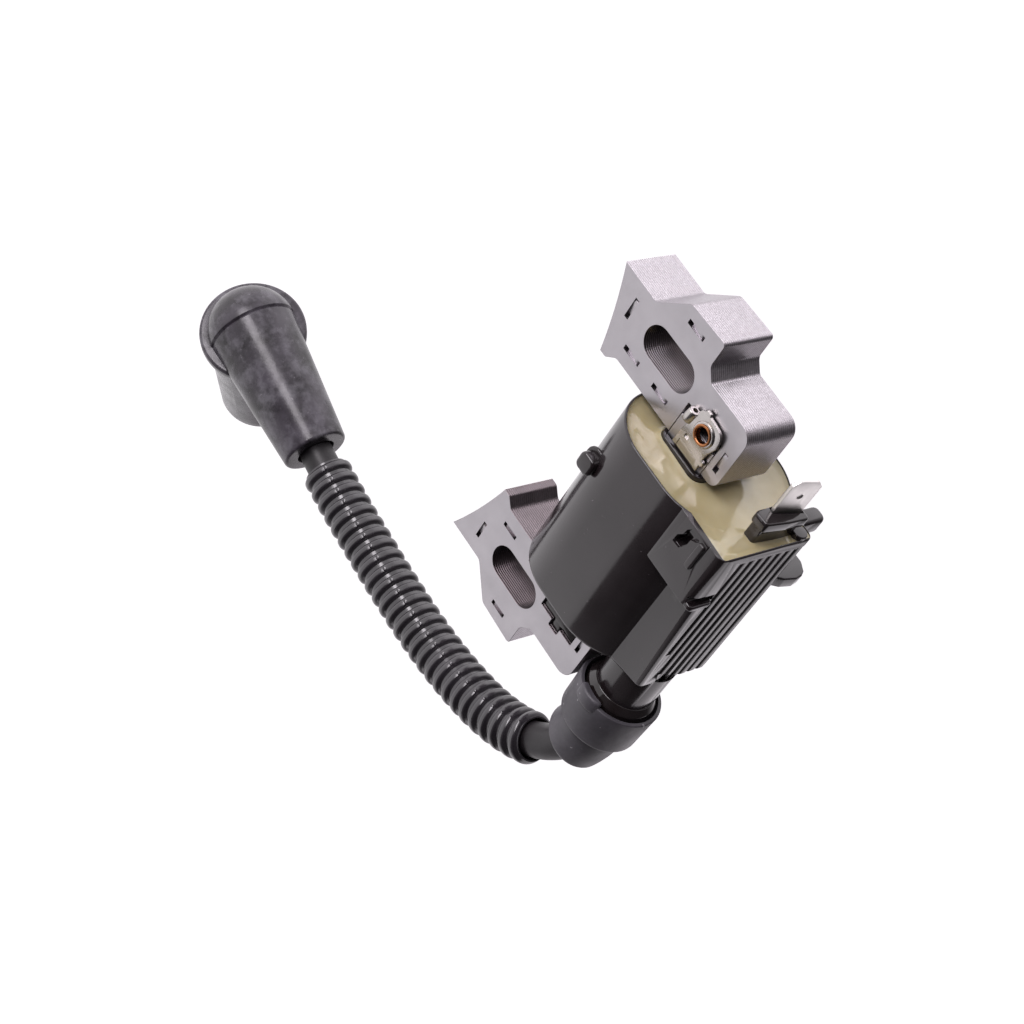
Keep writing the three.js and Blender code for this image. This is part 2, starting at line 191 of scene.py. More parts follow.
def lathe(name, profile, origin, axis, segments=64, angle=32):
    """Turns a closed outline of (radius, distance) about an axis."""
    axis, side, other = basis(axis)
    origin = Vector(origin)
    verts, rows = [], []
    for radius, distance in profile:
        centre = origin + axis * distance
        if radius < 1e-6:
            rows.append([len(verts)] * segments)
            verts.append(tuple(centre))
            continue
        rows.append(list(range(len(verts), len(verts) + segments)))
        for k in range(segments):
            turn = 2 * pi * k / segments
            out = side * (radius * cos(turn)) + other * (radius * sin(turn))
            verts.append(tuple(centre + out))
    faces = []
    count = len(profile)
    for i in range(count):
        here, ahead = rows[i], rows[(i + 1) % count]
        for k in range(segments):
            n = (k + 1) % segments
            face = []
            for v in (here[k], here[n], ahead[n], ahead[k]):
                if v not in face:
                    face.append(v)
            if len(face) > 2:
                faces.append(tuple(face))
    return make(name, verts, faces, angle)


def soften(profile, radii, steps=4):
    """Rounds the corners of a closed (radius, distance) outline; radii are by corner."""
    out = []
    count = len(profile)
    for i, radius in enumerate(radii):
        here = Vector(profile[i])
        if not radius:
            out.append(tuple(here))
            continue
        back = (Vector(profile[i - 1]) - here).normalized()
        ahead = (Vector(profile[(i + 1) % count]) - here).normalized()
        half = back.angle(ahead) / 2
        centre = here + (back + ahead).normalized() * (radius / sin(half))
        reach = radius / tan(half)
        first, last = here + back * reach - centre, here + ahead * reach - centre
        sweep_angle = atan2(first.x * last.y - first.y * last.x, first.dot(last))
        for k in range(steps + 1):
            t = sweep_angle * k / steps
            out.append((centre.x + first.x * cos(t) - first.y * sin(t),
                        centre.y + first.x * sin(t) + first.y * cos(t)))
    return out


def outline(corners, steps=6):
    """Closed XZ outline from corners (x, z, radius)."""
    return soften([c[:2] for c in corners], [c[2] for c in corners], steps)


def inset_loop(loop, distance):
    """A counter-clockwise outline moved inwards by a small distance."""
    points = np.array(loop)
    ahead = np.roll(points, -1, axis=0) - points
    ahead /= np.linalg.norm(ahead, axis=1)[:, None]
    behind = np.roll(ahead, 1, axis=0)
    normals = np.stack([-(ahead[:, 1] + behind[:, 1]), ahead[:, 0] + behind[:, 0]], axis=1)
    length = np.linalg.norm(normals, axis=1)
    scale = distance * 2 / np.maximum(length, 0.8) ** 2
    return points + normals * scale[:, None]


def inside(point, loop):
    """Whether a point lies in a closed outline, by counting crossings to its right."""
    x, y = point
    hit = False
    for (x0, y0), (x1, y1) in zip(loop, loop[1:] + loop[:1]):
        if (y0 > y) != (y1 > y) and x < (x1 - x0) * (y - y0) / (y1 - y0) + x0:
            hit = not hit
    return hit


def flat_fill(outer, holes):
    """Triangles of a flat region with holes: points and index triples."""
    points, edges = [], []
    for loop in [outer, *holes]:
        start = len(points)
        points += [tuple(p) for p in loop]
        edges += [(start + i, start + (i + 1) % len(loop)) for i in range(len(loop))]
    verts, _, tris, _, _, _ = delaunay_2d_cdt([Vector(p) for p in points], edges, [], 0, 1e-7)
    outer = [tuple(p) for p in outer]
    holes = [[tuple(p) for p in hole] for hole in holes]
    kept = []
    for tri in tris:
        middle = sum((verts[i] for i in tri), Vector((0, 0))) / len(tri)
        if inside(middle, outer) and not any(inside(middle, hole) for hole in holes):
            kept.append(tuple(tri))
    return [tuple(v) for v in verts], kept


def along_x(name, loop, *stations):
    """A YZ outline carried straight along X."""
    return loft(name, [[(x, y, z) for y, z in loop] for x in stations])


# ---------------- materials
CHALK = (0.26, 0.25, 0.28)
MIX_FACTOR, MIX_FIRST, MIX_SECOND, MIX_RESULT = 0, 6, 7, 2  # the colour sockets of a Mix node


def nodes_of(name):
    material = bpy.data.materials.new(name)
    material.use_nodes = True
    tree = material.node_tree
    return material, tree, tree.nodes["Principled BSDF"]


def put(node, **values):
    """Sets inputs by name, written with _ for a space."""
    for name, value in values.items():
        node.inputs[name.replace("_", " ")].default_value = value


def piece_space(tree):
    """Coordinates in the piece's own space."""
    return tree.nodes.new("ShaderNodeTexCoord").outputs["Object"]


def split_axes(tree, vector):
    node = tree.nodes.new("ShaderNodeSeparateXYZ")
    tree.links.new(vector, node.inputs["Vector"])
    return node.outputs


def noise(tree, scale, detail=4, roughness=0.55, stretch=(1, 1, 1)):
    """Noise in the piece's own space; scale counts features per metre."""
    mapping = tree.nodes.new("ShaderNodeMapping")
    put(mapping, Scale=stretch)
    texture = tree.nodes.new("ShaderNodeTexNoise")
    put(texture, Scale=scale, Detail=detail, Roughness=roughness)
    tree.links.new(piece_space(tree), mapping.inputs["Vector"])
    tree.links.new(mapping.outputs["Vector"], texture.inputs["Vector"])
    return texture.outputs["Fac"]


def ramp(tree, value, *stops):
    """A colour ramp over stops of (position, colour or grey level)."""
    node = tree.nodes.new("ShaderNodeValToRGB")
    elements = node.color_ramp.elements
    elements[0].position = stops[0][0]
    elements[1].position = stops[-1][0]
    for position, _ in stops[1:-1]:
        elements.new(position)
    for element, (_, colour) in zip(elements, stops):
        element.color = (*(colour if isinstance(colour, tuple) else [colour] * 3), 1)
    tree.links.new(value, node.inputs["Fac"])
    return node.outputs["Color"]


def math_node(tree, operation, first, second=None):
    """One arithmetic step over sockets or numbers."""
    node = tree.nodes.new("ShaderNodeMath")
    node.operation = operation
    for socket, value in zip(node.inputs, (first, second)):
        if isinstance(value, (int, float)):
            socket.default_value = value
        elif value is not None:
            tree.links.new(value, socket)
    return node.outputs[0]


def mix(tree, factor, first, second, blend="MIX"):
    """Mixes two colours; the factor may be a number and the second colour a constant."""
    node = tree.nodes.new("ShaderNodeMix")
    node.data_type = "RGBA"
    node.blend_type = blend
    if isinstance(factor, float):
        node.inputs[MIX_FACTOR].default_value = factor
    else:
        tree.links.new(factor, node.inputs[MIX_FACTOR])
    tree.links.new(first, node.inputs[MIX_FIRST])
    if isinstance(second, tuple):
        node.inputs[MIX_SECOND].default_value = (*second, 1)
    else:
        tree.links.new(second, node.inputs[MIX_SECOND])
    return node.outputs[MIX_RESULT]


def bump(tree, shader, *layers):
    """Stacks bump layers of (height, depth in millimetres)."""
    normal = None
    for height, depth in layers:
        node = tree.nodes.new("ShaderNodeBump")
        put(node, Strength=1, Distance=depth * MM)
        tree.links.new(height, node.inputs["Height"])
        if normal:
            tree.links.new(normal, node.inputs["Normal"])
        normal = node.outputs["Normal"]
    tree.links.new(normal, shader.inputs["Normal"])


def finish_surface(tree, shader, colour, gloss_noise, rough):
    """Links the colour, and a roughness that drifts between two values."""
    tree.links.new(colour, shader.inputs["Base Color"])
    gloss = ramp(tree, gloss_noise, (0.3, rough[0]), (0.7, rough[1]))
    tree.links.new(gloss, shader.inputs["Roughness"])


def moulded(name, dark, light, rough, grain=0.012, grain_scale=2600, dust=None, blotch=90,
            bloom=None, shine=0.5):
    """Moulded plastic or rubber: cloudy colour, uneven gloss, fine grain, optional dust and chalky bloom.

    dust is (features per metre, where it starts, where it is full, amount, colour)."""
    material, tree, shader = nodes_of(name)
    put(shader, Specular_IOR_Level=shine)
    colour = ramp(tree, noise(tree, blotch, 7, 0.62), (0.38, dark), (0.62, light))
    if bloom:
        mask = ramp(tree, noise(tree, blotch * 1.9, 9, 0.68), (0.47, 0.0), (0.66, bloom))
        colour = mix(tree, mask, colour, CHALK)
    if dust:
        scale, start, full, amount, tint = dust
        mask = ramp(tree, noise(tree, scale, 2, 0.5), (start, 0.0), (full, amount))
        colour = mix(tree, mask, colour, tint)
    finish_surface(tree, shader, colour, noise(tree, blotch * 2.7, 4, 0.6), rough)
    bump(tree, shader, (noise(tree, blotch * 4, 3, 0.5), grain), (noise(tree, grain_scale, 3, 0.6), grain))
    return material


def metal(name, dark, light, rough, stretch=(1, 1, 1), scale=900, depth=0.006, stains=None):
    """Bare or plated metal: directional fine scratches, cloudy tint and uneven gloss."""
    material, tree, shader = nodes_of(name)
    put(shader, Metallic=1)
    colour = ramp(tree, noise(tree, 120, 6, 0.6), (0.3, dark), (0.7, light))
    if stains:
        mask = ramp(tree, noise(tree, 420, 4, 0.7), (0.6, 0.0), (0.72, 0.7))
        colour = mix(tree, mask, colour, stains)
    scratches = noise(tree, scale, 5, 0.7, stretch)
    finish_surface(tree, shader, colour, scratches, rough)
    bump(tree, shader, (scratches, depth))
    return material


def laminated(name):
    """Sheet steel: bright rolled faces, and cut edges that show each sheet of the stack."""
    material, tree, shader = nodes_of(name)
    put(shader, Metallic=1)

    def step(operation, first, second=None):
        return math_node(tree, operation, first, second)

    place = split_axes(tree, piece_space(tree))
    facing = split_axes(tree, tree.nodes.new("ShaderNodeNewGeometry").outputs["True Normal"])
    half_sheet = SHEET / 2 * MM
    from_seam = step("DIVIDE", step("PINGPONG", place["Y"], half_sheet), half_sheet)
    seams = ramp(tree, from_seam, (0.0, 1.0), (0.32, 0.0))
    edge = ramp(tree, step("ABSOLUTE", facing["Y"]), (0.5, 1.0), (0.8, 0.0))
    cloud = noise(tree, 70, 6, 0.6)
    rolled = ramp(tree, cloud, (0.3, (0.40, 0.385, 0.405)), (0.7, (0.47, 0.45, 0.47)))
    sheared = ramp(tree, noise(tree, 2300, 3, 0.7, (1, 0.5, 1)),
                   (0.3, (0.37, 0.345, 0.365)), (0.7, (0.50, 0.475, 0.505)))
    colour = mix(tree, edge, rolled, sheared)
    # Painted shade: the bores of the slots, and the edges of the right leg that face the coil, are coloured
    # darker to stand in for the shade that falls on them.
    from_slot = step("ABSOLUTE", step("SUBTRACT", step("ABSOLUTE", place["X"]), SLOT_X * MM))
    beside = step("LESS_THAN", from_slot, (SLOT_HALF[0] + 0.25) * MM)
    level = step("LESS_THAN", step("ABSOLUTE", place["Z"]), (SLOT_HALF[1] + 0.3) * MM)
    # Painted shade in the bores of the slots.
    slot_painted_shade = step("MULTIPLY", step("MULTIPLY", beside, level), edge)
    colour = mix(tree, slot_painted_shade, colour, (0.085, 0.068, 0.072))
    # Painted shade on the right leg's edges that face the coil.
    right = step("GREATER_THAN", place["X"], 18 * MM)
    inward = step("MULTIPLY", right, step("LESS_THAN", facing["X"], -0.3))
    colour = mix(tree, step("MULTIPLY", inward, 0.88), colour, (0.09, 0.073, 0.077))
    colour = mix(tree, step("MULTIPLY", edge, seams), colour, (0.06, 0.047, 0.05))
    finish_surface(tree, shader, colour, noise(tree, 260, 5, 0.6), (0.30, 0.42))
    bump(tree, shader, (cloud, 0.03), (noise(tree, 3200, 3, 0.6), 0.004))
    return material


def potting(name):
    """Cast resin: cream, faintly cloudy and deep, with a wet gloss."""
    material, tree, shader = nodes_of(name)
    put(shader, Coat_Weight=0.6, Coat_Roughness=0.04)
    put(shader, Subsurface_Weight=0.25, Subsurface_Radius=(1.0, 0.7, 0.35), Subsurface_Scale=0.0015)
    colour = ramp(tree, noise(tree, 110, 4, 0.5),
                  (0.3, (0.39, 0.33, 0.18)), (0.55, (0.43, 0.37, 0.215)), (0.75, (0.475, 0.415, 0.255)))
    finish_surface(tree, shader, colour, noise(tree, 300, 3), (0.10, 0.2))
    bump(tree, shader, (noise(tree, 160, 2, 0.4), 0.25))
    return material


def winding(name):
    """Layers of enamelled wire: fine turns across the coil's axis."""
    material, tree, shader = nodes_of(name)
    put(shader, Metallic=0.9)
    wave = tree.nodes.new("ShaderNodeTexWave")
    wave.bands_direction = "X"
    put(wave, Scale=700, Distortion=0.4)
    tree.links.new(piece_space(tree), wave.inputs["Vector"])
    turns = wave.outputs["Fac"]
    colour = ramp(tree, turns, (0.1, (0.18, 0.06, 0.02)), (0.8, (0.62, 0.27, 0.11)))
    finish_surface(tree, shader, colour, noise(tree, 500), (0.25, 0.4))
    bump(tree, shader, (turns, 0.05))
    return material


SLOT_X = 30.0
SLOT_HALF = (3.25, 6.6)
STACK = 12.0
SHEETS = 24
SHEET = STACK / SHEETS
STEEL = laminated("lamination_steel")
CASE = moulded("case_plastic", (0.012, 0.0085, 0.0095), (0.018, 0.0138, 0.0152), (0.12, 0.18), 0.003, 2400,
               (1500, 0.74, 0.80, 0.4, (0.26, 0.23, 0.25)), shine=0.68)
GLOSSY = moulded("glossy_black_plastic", (0.012, 0.009, 0.009), (0.02, 0.016, 0.017), (0.05, 0.11), 0.004,
                 1800, shine=0.7)
KEY = moulded("key_plastic", (0.008, 0.006, 0.006), (0.016, 0.013, 0.012), (0.12, 0.22), 0.01, 1500,
              shine=0.6)
RUBBER = moulded("dusty_rubber", (0.008, 0.006, 0.008), (0.058, 0.051, 0.063), (0.2, 0.32), 0.012, 1900,
                 (1150, 0.71, 0.77, 0.4, (0.3, 0.28, 0.31)), 110, 0.4)
BOOT_RUBBER = moulded("boot_rubber", (0.045, 0.042, 0.049), (0.066, 0.061, 0.071), (0.40, 0.55), 0.012, 1900,
                      (900, 0.71, 0.75, 0.6, (0.34, 0.33, 0.35)), 70, 0.1)
JACKET = moulded("lead_jacket", (0.009, 0.0075, 0.009), (0.015, 0.0125, 0.0145), (0.35, 0.5), 0.01, 2200)
SLEEVE = moulded("ribbed_sleeve", (0.018, 0.0155, 0.019), (0.027, 0.0235, 0.0285), (0.18, 0.26), 0.003, 1600,
                 shine=1.0)
CREAM = moulded("cream_plastic", (0.55, 0.50, 0.40), (0.66, 0.61, 0.5), (0.35, 0.5))
BOARD = moulded("board_laminate", (0.03, 0.12, 0.05), (0.06, 0.2, 0.09), (0.3, 0.5), 0.01, 3000)
DEVICE = moulded("device_body", (0.02, 0.02, 0.02), (0.035, 0.035, 0.035), (0.4, 0.6), 0.02, 3000)
RESISTOR = moulded("resistor_lacquer", (0.45, 0.33, 0.18), (0.58, 0.45, 0.27), (0.25, 0.4))
NICKEL = metal("nickel_plate", (0.42, 0.40, 0.38), (0.60, 0.575, 0.56), (0.18, 0.28), (1, 1, 0.2), 800, 0.004,
               (0.40, 0.34, 0.28))
TIN = metal("tin_plate", (0.70, 0.68, 0.66), (0.84, 0.82, 0.80), (0.36, 0.5), (0.1, 1, 1), 1800, 0.006)
COPPER = metal("eyelet_copper", (0.30, 0.12, 0.05), (0.60, 0.28, 0.13), (0.2, 0.35))
BRASS = metal("contact_brass", (0.58, 0.42, 0.17), (0.76, 0.60, 0.30), (0.2, 0.35))
RESIN = potting("potting_resin")
WIRE = winding("enamelled_wire")


def piece(obj, material, replaces=(), body="coil"):
    obj.data.materials.clear()
    obj.data.materials.append(material)
    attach(obj, body)
    if replaces:
        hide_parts(*replaces)
    return obj


# ---------------- high-tension lead and its sleeve
ROUTE = [
    (36.2, -7.8, 29.1), (40.6, -7.8, 28.7), (45.1, -7.7, 27.5), (50, -7.6, 25.2), (54.2, -7.5, 21.9),
    (57.3, -7.4, 18), (59.7, -7.3, 13.7), (61.7, -7.2, 8.8), (63.4, -7, 3), (64.7, -6.8, -3.2),
    (65.6, -6.6, -9.6), (66, -6.5, -16), (66.2, -6.3, -22.5), (66.2, -6.2, -29), (66.1, -6, -35.5),
    (65.9, -5.9, -42), (65.6, -5.7, -48.5), (65.1, -5.6, -54.5), (64.6, -5.5, -58.9),
    (63.93, -5.5, -63.85), (63.12, -5.5, -69.8),
]


def centripetal(points, per_span=24):
    """Dense points of the centripetal Catmull-Rom curve through the route."""
    points = [np.array(p, float) for p in points]
    padded = [2 * points[0] - points[1], *points, 2 * points[-1] - points[-2]]
    out = []
    for span in zip(padded, padded[1:], padded[2:], padded[3:]):
        t = np.cumsum([0] + [sqrt(np.linalg.norm(b - a)) for a, b in zip(span, span[1:])])

        def between(i, j, u, start, end):
            return (t[j] - u) / (t[j] - t[i]) * start + (u - t[i]) / (t[j] - t[i]) * end

        for k in range(per_span):
            u = t[1] + (t[2] - t[1]) * k / per_span
            first = [between(i, i + 1, u, span[i], span[i + 1]) for i in range(3)]
            second = [between(i, i + 2, u, first[i], first[i + 1]) for i in range(2)]
            out.append(between(1, 2, u, *second))
    out.append(points[-1])
    return np.array(out)


DENSE = centripetal(ROUTE)
RUN = np.concatenate([[0], np.cumsum(np.linalg.norm(np.diff(DENSE, axis=0), axis=1))])
TOTAL = RUN[-1]


def along(distances):
    """Points of the lead's line at distances from its start."""
    return np.stack([np.interp(distances, RUN, DENSE[:, i]) for i in range(3)], axis=1)


def sweep(name, distances, radii, bore=None, sides=40, seam=(), angle=40):
    """A tube along the lead's line; seam gives rows of (turn, height) that follow its widest rings."""
    centres = along(np.array(distances))
    tangents = np.gradient(centres, axis=0)
    tangents /= np.linalg.norm(tangents, axis=1)[:, None]
    lift = dict(seam)
    turns = sorted([2 * pi * k / sides for k in range(sides)] + list(lift))

    def ring(i, radius, raised):
        axis = Vector(tangents[i])
        normal = axis.cross(Vector((0, 1, 0))).normalized()
        other = axis.cross(normal)
        points = []
        for turn in turns:
            r = radius + lift.get(turn, 0) * raised
            out = normal * (r * cos(turn)) - other * (r * sin(turn))
            points.append(tuple(Vector(centres[i]) + out))
        return points

    top, fade = max(radii), 0.25
    outer = [ring(i, r, max(0.0, (r - top + fade) / fade)) for i, r in enumerate(radii)]
    if bore is None:
        return loft(name, outer, angle)
    inner = [ring(i, b, 0) for i, b in enumerate(bore)]
    verts, faces = [], []
    strip(verts, faces, outer + inner[::-1] + outer[:1])
    return make(name, verts, faces, angle)


LEAD_RADIUS, LEAD_BORE = 3.5, 1.25
SLEEVE_BORE, RIB_ROOT, RIB_HEIGHT, RIB_PITCH = 4.1, 4.4, 0.8, 2.95
RIB_HALF = 0.34  # half a rib's width, as a part of the pitch
SEAM_TURN, SEAM_RIDGE = radians(216), 0.13


def lead_pieces():
    rings = 90
    lead = sweep("ht_lead_skin", np.linspace(0.02 * TOTAL, TOTAL, rings), [LEAD_RADIUS] * rings,
                 [LEAD_BORE] * rings, 36)
    low, high = 0.178 * TOTAL, 0.862 * TOTAL
    count = round((high - low) / RIB_PITCH)
    pitch = (high - low) / count
    steps = 16
    places, radii = [], []
    for i in range(count * steps + 1):
        lobe = abs((i % steps) / steps - 0.5) / RIB_HALF
        rise = 0 if lobe >= 1 else RIB_HEIGHT * (1 - lobe ** 2.8) ** (1 / 1.9)
        places.append(low + pitch * i / steps)
        radii.append(RIB_ROOT + rise)
    seam = [(SEAM_TURN + turn, height) for turn, height in
            ((-0.075, 0.0), (-0.038, SEAM_RIDGE), (0.038, SEAM_RIDGE), (0.075, 0.0))]
    sleeve = sweep("ribbed_sleeve", places, radii, [SLEEVE_BORE] * len(radii), 44, seam, 50)
    return lead, sleeve


LEAD, RIBBED = lead_pieces()
piece(LEAD, JACKET, ["ht_lead"])
piece(RIBBED, SLEEVE, ["conduit"])


# ---------------- plug cap
CAP_END = Vector((64.6, -5.5, -58.9))
CAP_LENGTH = 30.6
TILT, SWIVEL = radians(7.7), radians(31.2)
DOWN = Vector((-sin(TILT), 0, -cos(TILT)))
PLUG_WAY = Vector((cos(TILT) * cos(SWIVEL), sin(SWIVEL), -sin(TILT) * cos(SWIVEL)))
ELBOW = CAP_END + DOWN * CAP_LENGTH
REACH = 31.0
DOME = 9.5


def build_cap():
    """A tapered neck with a domed end, a collared barrel across it, and a bore up each."""
    skirt = [(0, 0), (6.85, 0), (9.25, CAP_LENGTH - 0.5), (9.05, CAP_LENGTH - 0.2), (9.45, CAP_LENGTH + 0.25)]
    skirt = soften(skirt, [0, 0.7, 0, 0, 0])
    round_end = [(DOME * cos(t), CAP_LENGTH + DOME * sin(t)) for t in np.linspace(0.06, pi / 2, 16)]
    round_end[-1] = (0, CAP_LENGTH + DOME)
    cap = lathe("plug_cap_skin", skirt + round_end, CAP_END, DOWN, 72)
    barrel = soften([(0, -3), (8, -3), (9.2, -0.2), (11.3, -0.2), (11.3, 2.2), (9.6, 2.6), (9.1, REACH - 3.2),
                     (9.08, REACH - 2.6), (9.05, REACH), (0, REACH)],
                    [0, 0, 0.4, 0.7, 0.7, 0.5, 0.4, 0.5, 0.6, 0])
    join(cap, lathe("barrel", barrel, ELBOW, PLUG_WAY, 72))
    lead_bore = soften([(0, -1), (4.5, -1), (3.9, 0.5), (3.9, 11.6), (2.3, 12.4), (2.3, CAP_LENGTH),
                        (0, CAP_LENGTH)], [0, 0, 0.3, 0, 0, 0, 0])
    carve(cap, lathe("bore", lead_bore, CAP_END, DOWN, 48))
    plug_bore = soften([(0, 0.3), (4, 0.3), (4, 3), (7.2, 5), (7.2, 11), (6.8, 11.6), (6.8, 12.4), (7.2, 13),
                        (7.2, REACH - 1), (8, REACH + 0.4), (8, REACH + 2), (0, REACH + 2)],
                       [0, 0, 0, 0.5, 0.3, 0.2, 0.2, 0.3, 0.4, 0, 0, 0])
    carve(cap, lathe("plug_bore", plug_bore, ELBOW, PLUG_WAY, 64))
    return cap


def build_terminal_clip():
    """Spring clip for the plug's terminal: a rolled sleeve with a waist, slits and a flared mouth."""
    profile = [(2.45, 0.0), (3.3, 0.0), (3.4, 1.2), (3.4, 4.4), (3.1, 6.2), (3.1, 8), (3.45, 9.6), (3.75, 11),
               (3.5, 11.1), (3.15, 9.8), (2.75, 8), (2.75, 6.2), (3.05, 4.4), (3.05, 1.2), (2.45, 0.5)]
    clip = lathe("plug_terminal_clip_skin", profile, ELBOW + PLUG_WAY, PLUG_WAY, 48)
    axis, side, other = basis(PLUG_WAY)
    cutter = block("slit", (-4.5, -0.35, 4.0), (4.5, 0.35, 12.5), 0.1)
    cutter.data.transform(Matrix((side, other, axis)).transposed().to_4x4())
    cutter.data.transform(Matrix.Translation((ELBOW + PLUG_WAY) * MM))
    return carve(clip, cutter)


CAP = piece(build_cap(), RUBBER, ["plug_cap"], "plug_cap")
CLIP = piece(build_terminal_clip(), BRASS, ["plug_terminal_clip"], "plug_cap")
CONTACT = piece(lathe("cap_contact_rod_skin",
                      soften([(0, 11.5), (1.5, 11.5), (1.5, 13), (1.2, 13.4), (1.2, 25.2), (0, 26.2)],
                             [0, 0.3, 0.2, 0.2, 0.2, 0]), CAP_END, DOWN, 32),
                BRASS, ["cap_contact_rod"], "plug_cap")


# ---------------- core
LEG_TOP = 21.3
BAR = (7.9, 17.6)
POLE_RADIUS, POLE_Z, POLE_X = 86.15, -96.2, (19, 35.3)
LEG = [(35.2, -8.3, 1.5), (40.9, -2.4, 1.5), (41.28, 7.2, 0.8), (36.2, 7.2, 1.6), (34.1, 9.3, 1.0),
       (34.1, LEG_TOP, 2.8), (20.8, LEG_TOP, 2.0), (20.8, BAR[1], 0.15), (27.9, BAR[1], 0.2),
       (27.9, 14.1, 0.15), (29.4, 14.1, 0.4), (29.4, 11.5, 0.4), (27.9, 11.5, 0.15), (27.9, BAR[0], 0.2),
       (20.8, BAR[0], 0.15), (20.8, -8.6, 1.6), (19.0, -10.6, 0.8)]
STAKES = [(30.1, -11.5, 0), (38.3, 1.1, 1), (24.0, -6.3, 1), (23.9, 2.4, 1), (25.6, 19.3, 0)]


def leg_loop():
    """The right leg's outline, with the pole face's arc as its lower edge."""
    low, high = asin(POLE_X[0] / POLE_RADIUS), asin(POLE_X[1] / POLE_RADIUS)
    steps = 24
    pole = []
    for k in range(steps + 1):
        turn = low + (high - low) * k / steps
        pole.append((POLE_RADIUS * sin(turn), POLE_Z + POLE_RADIUS * cos(turn)))
    loop = soften([pole[0], pole[-1], *[c[:2] for c in LEG]], [0, 0, *[c[2] for c in LEG]], 6)
    return [pole[0]] + pole[1:-1] + loop[1:]


GROOVE, LAND = 0.08, 0.1
STAKE_HALF = 0.5
STAKE_FLOOR = [(-2.2, 1.9), (-1.5, 1.9), (-1.4, 0.6), (-0.5, 0.46), (0.4, 0.32), (1.25, 0.2), (1.6, 0.3),
               (2.2, 1.1)]


def stake_point(stake, along_way, across):
    """A point of a stake mark (x, z, upright, deep end's side, size), its floor running along its length."""
    x, z, upright, side, size = stake
    along_way, across = along_way * side * size, across * size
    return (x + across, z + along_way) if upright else (x + along_way, z + across)


def stake_loop(stake):
    long = STAKE_FLOOR[-1][0]
    return [stake_point(stake, a, b) for a, b in
            ((-long, -STAKE_HALF), (long, -STAKE_HALF), (long, STAKE_HALF), (-long, STAKE_HALF))]


def add_stake(verts, faces, stake, y, inward):
    """A lanced stake mark: an open slot whose floor bows up between two deep ends."""
    top = len(verts)
    verts += [(a, y, b) for a, b in stake_loop(stake)]
    floors = []
    for side in (-STAKE_HALF, STAKE_HALF):
        floors.append(list(range(len(verts), len(verts) + len(STAKE_FLOOR))))
        for at, depth in STAKE_FLOOR:
            a, b = stake_point(stake, at, side)
            verts.append((a, y + inward * depth, b))
    low, high = floors
    faces += [(low[i], low[i + 1], high[i + 1], high[i]) for i in range(len(low) - 1)]
    faces += [(top, top + 1, *low[::-1]), (top + 3, top + 2, *high[::-1]),
              (top, top + 3, high[0], low[0]), (top + 1, top + 2, high[-1], low[-1])]


def stacked(name, loop, holes, stakes):
    """A stack of sheets: every sheet's edge stands proud of the fine groove beside it."""
    verts, faces = [], []
    levels = []
    for i in range(SHEETS):
        y = -STACK + i * SHEET
        levels += [(y, GROOVE), (y + LAND, 0), (y + SHEET - LAND, 0)]
    levels.append((0, GROOVE))
    for ring, way in [(loop, 1)] + [(hole, -1) for hole in holes]:
        rings = [[(x, y, z) for x, z in inset_loop(ring, way * inset)] for y, inset in levels]
        strip(verts, faces, rings)
    outer = [tuple(p) for p in inset_loop(loop, GROOVE)]
    inner = [[tuple(p) for p in inset_loop(hole, -GROOVE)] for hole in holes]
    points, tris = flat_fill(outer, inner + [stake_loop(stake) for stake in stakes])
    for y, inward in ((-STACK, 1), (0, -1)):
        start = len(verts)
        verts += [(x, y, z) for x, z in points]
        faces += [tuple(start + i for i in tri) for tri in tris]
        for stake in stakes:
            add_stake(verts, faces, stake, y, inward)
    return make(name, verts, faces, 25)


def mirror(loop):
    return [(-x, z) for x, z in loop][::-1]


half_x, half_z = SLOT_HALF
slot_loop = rounded((SLOT_X - half_x, -half_z), (SLOT_X + half_x, half_z), half_x - 0.01, 12)
for side, word, turned, size in ((1, "right", list, 0.88), (-1, "left", mirror, 1.0)):
    stakes = [(side * x, z, upright, -side if upright else -1, size) for x, z, upright in STAKES]
    leg = stacked(f"core_leg_{word}_sheets", turned(leg_loop()), [turned(slot_loop)], stakes)
    piece(leg, STEEL, [f"core_leg_{word}"])
bar_loop = rounded((-25.4, BAR[0] + 0.06), (25.4, BAR[1] - 0.06), 0.2, 3)
piece(stacked("core_crossbar_sheets", bar_loop, [], []), STEEL, ["core_crossbar"])


def prism(name, loop, front, back, width, segments=2):
    """An XZ outline pushed along Y, with bevelled edges."""
    return bevel(loft(name, [[(x, y, z) for x, z in loop] for y in (front, back)]), width, segments)


KEY_CORNERS = [(25.7, BAR[0] + 0.3, 0.3), (27.6, BAR[0] + 0.3, 0.3), (27.6, 11.8, 0.15), (29.1, 11.8, 0.3),
               (29.1, 13.8, 0.3), (27.6, 13.8, 0.15), (27.6, BAR[1] - 0.3, 0.3), (25.7, BAR[1] - 0.3, 0.3)]
key_loop = outline(KEY_CORNERS, 3)
for word, loop, front in (("right", key_loop, -STACK + 0.4), ("left", mirror(key_loop), -11.3)):
    key = prism(f"core_key_{word}_skin", loop, front, -0.4, 0.15)
    piece(key, KEY, [f"core_key_{word}"])

# ---------------- ground clip and eyelet
EYELET, EYELET_HOLE = (-27.1, 14.2), 1.78


